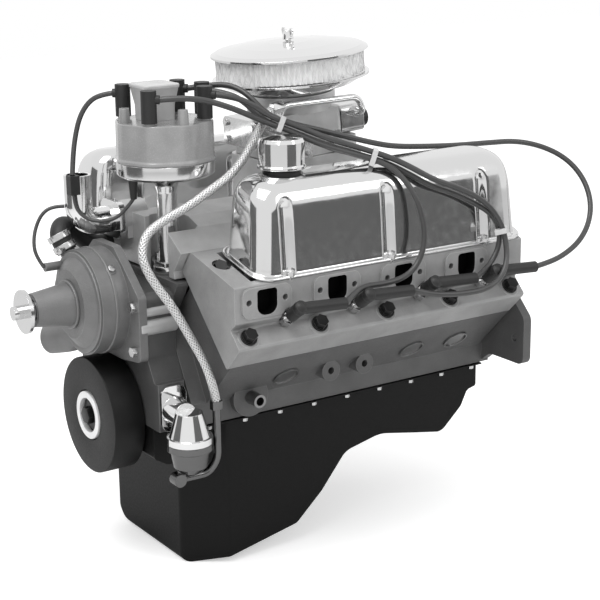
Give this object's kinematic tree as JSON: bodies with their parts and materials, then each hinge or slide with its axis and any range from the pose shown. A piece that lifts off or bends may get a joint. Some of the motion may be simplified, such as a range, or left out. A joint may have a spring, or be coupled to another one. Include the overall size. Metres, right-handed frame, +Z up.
{
  "type": "v8 engine",
  "caption": "Complete ninety-degree V engine with chromed covers, carburettor with round air cleaner, front distributor, water pump, damper, fuel pump and deep oil pan.",
  "frame": {"origin": "centre of the crankshaft's rear flange face", "axes": "+Y along the crankshaft towards the gearbox, +Z up, +X towards the driver's bank; the front of the engine is at -Y"},
  "size_m": [0.5246, 0.8427, 0.7333],
  "materials": {
    "block_iron": "cast and painted dull grey",
    "forged_steel": "machined steel",
    "chain_steel": "dark steel chain",
    "piston_alloy": "machined",
    "head_alloy": "as cast",
    "gasket_sheet": "composition sheet, matt",
    "black_steel": "black oxide",
    "rocker_alloy": "satin",
    "cover_chrome": "bright plated",
    "bolt_steel": "zinc plated",
    "cap_chrome": "bright plated",
    "grommet_rubber": "matt",
    "intake_alloy": "satin cast",
    "carb_alloy": "satin cast",
    "shaft_steel": "machined",
    "pipe_chrome": "bright plated",
    "cleaner_chrome": "bright plated",
    "filter_paper": "pleated gauze",
    "nut_chrome": "bright plated",
    "distributor_alloy": "machined",
    "cap_plastic": "moulded, slightly glossy",
    "cover_alloy": "as cast",
    "pump_iron": "as cast",
    "pump_steel": "machined",
    "damper_black": "satin black",
    "fuel_pump_alloy": "cast and chromed",
    "pan_black": "gloss black",
    "plug_brass": "pressed",
    "wire_rubber": "silicone jacket, matt",
    "hose_braid": "woven steel braid",
    "hose_rubber": "matt"
  },
  "bodies": {
    "engine": {"air_cleaner_base": "cleaner_chrome", "air_cleaner_lid": "cleaner_chrome", "air_cleaner_stud": "shaft_steel", "air_filter_element": "filter_paper", "block_plugs": "plug_brass", "bypass_hose": "hose_rubber", "carburettor_base": "carb_alloy", "carburettor_body": "carb_alloy", "coil_cover": "cap_plastic", "coil_lead": "wire_rubber", "connecting_rods": "forged_steel", "cover_grommets": "grommet_rubber", "cylinder_head_driver": "head_alloy", "cylinder_head_passenger": "head_alloy", "distributor_body": "distributor_alloy", "distributor_cap": "cap_plastic", "engine_block": "block_iron", "float_bowls": "carb_alloy", "front_bolts": "bolt_steel", "fuel_hose": "hose_braid", "fuel_inlet_pipe": "pipe_chrome", "fuel_pump": "fuel_pump_alloy", "fuel_pump_bowl": "fuel_pump_alloy", "head_bolts": "black_steel", "head_gaskets": "gasket_sheet", "intake_manifold": "intake_alloy", "lifters_and_pushrods": "forged_steel", "main_bearing_caps": "forged_steel", "oil_pan": "pan_black", "oil_pump": "forged_steel", "pan_bolts": "bolt_steel", "pickup_lead": "wire_rubber", "pistons": "piston_alloy", "plug_boots": "wire_rubber", "plug_wire_1": "wire_rubber", "plug_wire_2": "wire_rubber", "plug_wire_3": "wire_rubber", "plug_wire_4": "wire_rubber", "rocker_arms": "rocker_alloy", "sender_lead": "wire_rubber", "spark_plugs": "bolt_steel", "thermostat_housing": "pipe_chrome", "timing_chain": "chain_steel", "timing_cover": "cover_alloy", "top_end_bolts": "bolt_steel", "valve_cover_driver": "cover_chrome", "valve_cover_passenger": "cover_chrome", "valve_gear": "forged_steel", "water_pump_body": "pump_iron", "wire_separators": "wire_rubber"},
    "crank": {"crankshaft": "forged_steel", "harmonic_damper": "damper_black"},
    "cam": {"camshaft": "forged_steel"},
    "distributor_spindle": {"distributor_shaft": "forged_steel"},
    "pump_spindle": {"water_pump_shaft": "pump_steel"},
    "primary_throttle": {"throttle_shaft_primary": "shaft_steel"},
    "secondary_throttle": {"throttle_shaft_secondary": "shaft_steel"},
    "choke": {"choke_plate": "shaft_steel"},
    "filler": {"oil_filler_cap": "cap_chrome"},
    "cleaner_nut": {"air_cleaner_nut": "nut_chrome"}
  },
  "joints": [
    {"name": "crank_spin", "type": "hinge", "parent": "engine", "child": "crank", "pos_m": [0, 0, 0], "axis": [0, 1, 0], "continuous": true, "deforming": ["connecting_rods"]},
    {"name": "cam_spin", "type": "hinge", "parent": "engine", "child": "cam", "pos_m": [0, 0, 0.111], "axis": [0, 1, 0], "continuous": true},
    {"name": "distributor_spin", "type": "hinge", "parent": "engine", "child": "distributor_spindle", "pos_m": [0.038, -0.512, 0], "axis": [0, 0, 1], "continuous": true},
    {"name": "pump_spin", "type": "hinge", "parent": "engine", "child": "pump_spindle", "pos_m": [0, 0, 0.164], "axis": [0, 1, 0], "continuous": true},
    {"name": "primary_throttle_hinge", "type": "hinge", "parent": "engine", "child": "primary_throttle", "pos_m": [0, -0.30156, 0.34516], "axis": [1, 0, 0], "range_deg": [0, 75]},
    {"name": "secondary_throttle_hinge", "type": "hinge", "parent": "engine", "child": "secondary_throttle", "pos_m": [0, -0.24969, 0.34879], "axis": [1, 0, 0], "range_deg": [0, 75]},
    {"name": "choke_hinge", "type": "hinge", "parent": "engine", "child": "choke", "pos_m": [0, -0.30414, 0.41064], "axis": [1, 0, 0], "range_deg": [-80, 0]},
    {"name": "filler_cap_lift", "type": "slide", "parent": "engine", "child": "filler", "axis": [0, 0, 1], "range_m": [0, 0.05]},
    {"name": "cleaner_nut_turn", "type": "hinge", "parent": "engine", "child": "cleaner_nut", "pos_m": [0, -0.28546, 0.48763], "axis": [0, -0.0698, 0.9976], "continuous": true}
  ],
  "couplings": [
    {"joint": "cam_spin", "follows": "crank_spin", "ratio": 0.5},
    {"joint": "distributor_spin", "follows": "crank_spin", "ratio": 0.5}
  ]
}
